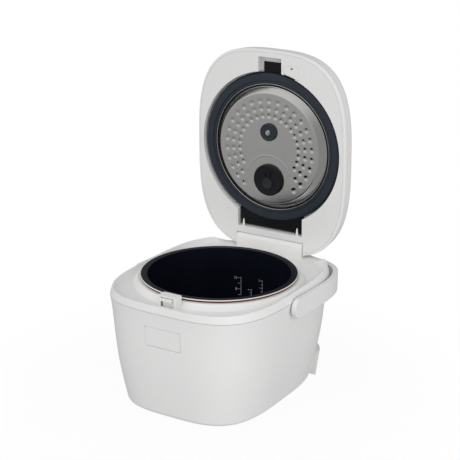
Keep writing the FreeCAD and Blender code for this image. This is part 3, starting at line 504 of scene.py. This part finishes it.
for corner_point in plate.verts:
    spot = corner_point.co.xy
    if spot.length > face_r - flat_margin:
        continue
    if dimples_from < spot.length < dimples_to:
        nearest = min((spot - dimple).length for dimple in dimples)
        if nearest < dimple_r:
            corner_point.co.z += dimple_deep * pressing(nearest, dimple_r)
    around = spot - Vector((0, valve_y))
    offset = abs(around.length - arc_r)
    if offset < arc_wide and around.y < arc_end:
        corner_point.co.z -= arc_high * pressing(offset, arc_wide)
bead_mid = (bead_in + bead_out) / 2
bead_low = seal_top - bead_high
bead = spun([
    (bead_in, seal_top), (bead_in, bead_low + 0.0007), (bead_in + 0.0005, bead_low + 0.0001),
    (bead_mid, bead_low), (bead_out - 0.0005, bead_low + 0.0001),
    (bead_out, bead_low + 0.0007), (bead_out, seal_top),
], steps=200, closed=True)
join(plate, bead)
piece("steel_plate", in_lid(plate), [lid_steel], "inner_lid", "lid_steel", "inner_lid_plate", crease=50)

# Sensor cap
# A blue-grey rubber disc with a raised rim, riveted to the plate by a steel pin
# with a washer under its head.

sensor_y = -0.0275
cap_high = 0.0044
cap_r = 0.0145
cap_low = face_level - cap_high
sensor = spun([
    (0, cap_low + 0.0008), (0.0050, cap_low + 0.0008), (0.0056, cap_low + 0.0003),
    (0.0064, cap_low + 0.0003), (0.0070, cap_low + 0.0010), (0.0110, cap_low + 0.0010),
    (0.0118, cap_low + 0.0002), (0.0128, cap_low), (0.0140, cap_low + 0.0006),
    (cap_r, cap_low + 0.0018), (cap_r, face_level), (0, face_level),
], steps=72, y=sensor_y)
piece("sensor_disc", in_lid(sensor), [silicone], "inner_lid", "gasket_silicone", "sensor_cap")
washer_r = 0.0044
rivet_sink = 0.0030
rivet = spun([
    (0, cap_low - 0.0020), (0.0014, cap_low - 0.0018), (0.0021, cap_low - 0.0012),
    (0.0024, cap_low - 0.0002), (0.0030, cap_low + 0.0002), (0.0040, cap_low - 0.0002),
    (washer_r, cap_low + 0.0003), (washer_r, cap_low + rivet_sink), (0, cap_low + rivet_sink),
], steps=48, y=sensor_y)
piece("sensor_rivet", in_lid(rivet), [plain_steel], "inner_lid", "plain_steel", "sensor_pin")

# Steam valve
# A black rubber disc plugged into the plate over the steam hole, with a paler hub
# and a ringed bleed hole above it.

valve_rubber = material("valve_rubber", (0.006, 0.0065, 0.008), rough=0.42,
                        grain=900, grit=0.06, tint=0.2, shine=0.25)
hub_rubber = material("hub_rubber", (0.020, 0.021, 0.025), rough=0.5,
                      grain=900, grit=0.06, tint=0.2, shine=0.3)
valve_high = 0.0056
hub_high = 0.0014
valve_r = 0.0260
hub_r = 0.0090
hole_r = 0.0042
valve_low = face_level - valve_high
hub_low = valve_low - hub_high
hub_y = valve_y + 0.005
hole_y = valve_y - 0.0105
valve = spun([
    (0, valve_low + 0.0008), (0.0200, valve_low + 0.0008), (0.0222, valve_low + 0.0002),
    (0.0240, valve_low), (0.0253, valve_low + 0.0006), (valve_r, valve_low + 0.0020),
    (valve_r, face_level), (0, face_level),
], steps=96, y=valve_y)
join(valve, spun([
    (hole_r, valve_low + 0.0010), (hole_r, hub_low + 0.0006), (0.0046, hub_low + 0.0002),
    (0.0054, hub_low + 0.0002), (0.0060, hub_low + 0.0008), (0.0062, valve_low + 0.0010),
], steps=48, closed=True, y=hole_y))
hub = spun([
    (0, hub_low + 0.0004), (0.0066, hub_low + 0.0004), (0.0072, hub_low), (0.0082, hub_low),
    (0.0089, hub_low + 0.0006), (hub_r, valve_low + 0.0010), (0, valve_low + 0.0010),
], steps=64, y=hub_y)
for face in hub.faces:
    face.material_index = 1
join(valve, hub)
piece("valve_disc", in_lid(valve), [valve_rubber, hub_rubber], "inner_lid", "valve_rubber", "steam_valve")

# Table, light and camera
# A pale table that fades into a white background, a large soft lamp in front and
# one on the right, and a grey room that is brightest above the front left.

table_mesh = bpy.data.meshes.new("table")
table_shape = bmesh.new()
bmesh.ops.create_grid(table_shape, x_segments=1, y_segments=1, size=2.0)
table_shape.to_mesh(table_mesh)
table_shape.free()
table = bpy.data.objects.new("table", table_mesh)
bpy.context.scene.collection.objects.link(table)
table_finish = bpy.data.materials.new("pale_table")
table_finish.use_nodes = True
tree = table_finish.node_tree
top = tree.nodes["Principled BSDF"]
top.inputs["Base Color"].default_value = (0.80, 0.80, 0.80, 1)
top.inputs["Roughness"].default_value = 0.9
top.inputs["Specular IOR Level"].default_value = 0.1
clear = tree.nodes.new("ShaderNodeBsdfTransparent")
fade = tree.nodes.new("ShaderNodeMixShader")
spot_place = tree.nodes.new("ShaderNodeTexCoord")
distance = tree.nodes.new("ShaderNodeVectorMath")
distance.operation = "LENGTH"
tree.links.new(spot_place.outputs["Object"], distance.inputs[0])
table_solid_to = 0.20
table_clear_from = 0.50
ramp = tree.nodes.new("ShaderNodeMapRange")
ramp.interpolation_type = "SMOOTHSTEP"
ramp.inputs["From Min"].default_value = table_solid_to
ramp.inputs["From Max"].default_value = table_clear_from
ramp.inputs["To Min"].default_value = 0.95
tree.links.new(distance.outputs["Value"], ramp.inputs["Value"])
tree.links.new(ramp.outputs["Result"], fade.inputs["Fac"])
tree.links.new(top.outputs["BSDF"], fade.inputs[1])
tree.links.new(clear.outputs["BSDF"], fade.inputs[2])
tree.links.new(fade.outputs["Shader"], tree.nodes["Material Output"].inputs["Surface"])
table_mesh.materials.append(table_finish)

brightest_way = (-0.35, -0.55, 0.76)
room_dim = 0.37
room_bright = 0.88
world = bpy.data.worlds.new("studio")
bpy.context.scene.world = world
world.use_nodes = True
tree = world.node_tree
sky = tree.nodes["Background"]
sky.inputs["Color"].default_value = (1, 1, 1, 1)
look = tree.nodes.new("ShaderNodeTexCoord")
toward = tree.nodes.new("ShaderNodeVectorMath")
toward.operation = "DOT_PRODUCT"
toward.inputs[1].default_value = brightest_way
tree.links.new(look.outputs["Generated"], toward.inputs[0])
room = tree.nodes.new("ShaderNodeMapRange")
room.interpolation_type = "SMOOTHSTEP"
room.inputs["From Min"].default_value = 0.2
room.inputs["From Max"].default_value = 1.0
room.inputs["To Min"].default_value = room_dim
room.inputs["To Max"].default_value = room_bright
tree.links.new(toward.outputs["Value"], room.inputs["Value"])
seen = tree.nodes.new("ShaderNodeLightPath")
level = tree.nodes.new("ShaderNodeMath")
level.operation = "MAXIMUM"
tree.links.new(seen.outputs["Is Camera Ray"], level.inputs[0])
tree.links.new(room.outputs["Result"], level.inputs[1])
tree.links.new(level.outputs["Value"], sky.inputs["Strength"])


def lamp(name, place, aim, size, power):
    """A square soft lamp aimed at a point and kept out of mirror images."""
    light = bpy.data.lights.new(name, "AREA")
    light.size = size
    light.energy = power
    holder = bpy.data.objects.new(name, light)
    holder.location = place
    holder.rotation_euler = (Vector(aim) - Vector(place)).to_track_quat("-Z", "Y").to_euler()
    holder.visible_glossy = False
    bpy.context.scene.collection.objects.link(holder)


body_middle = (0, 0, 0.2)
lamp("key_lamp", (-0.6, -2.4, 1.3), body_middle, size=3.2, power=18)
lamp("side_lamp", (2.4, -0.9, 0.5), body_middle, size=3.0, power=39)

eye = Vector((1.0827, -1.7188, 0.9476))
aim = Vector((0.0141, 0.0087, 0.264))
camera_data = bpy.data.cameras.new("camera")
camera_data.sensor_width = 36
camera_data.lens = 109.6
camera = bpy.data.objects.new("camera", camera_data)
camera.location = eye
camera.rotation_euler = (aim - eye).to_track_quat("-Z", "Y").to_euler()
bpy.context.scene.collection.objects.link(camera)
bpy.context.scene.camera = camera
bpy.context.scene.view_settings.view_transform = "Standard"
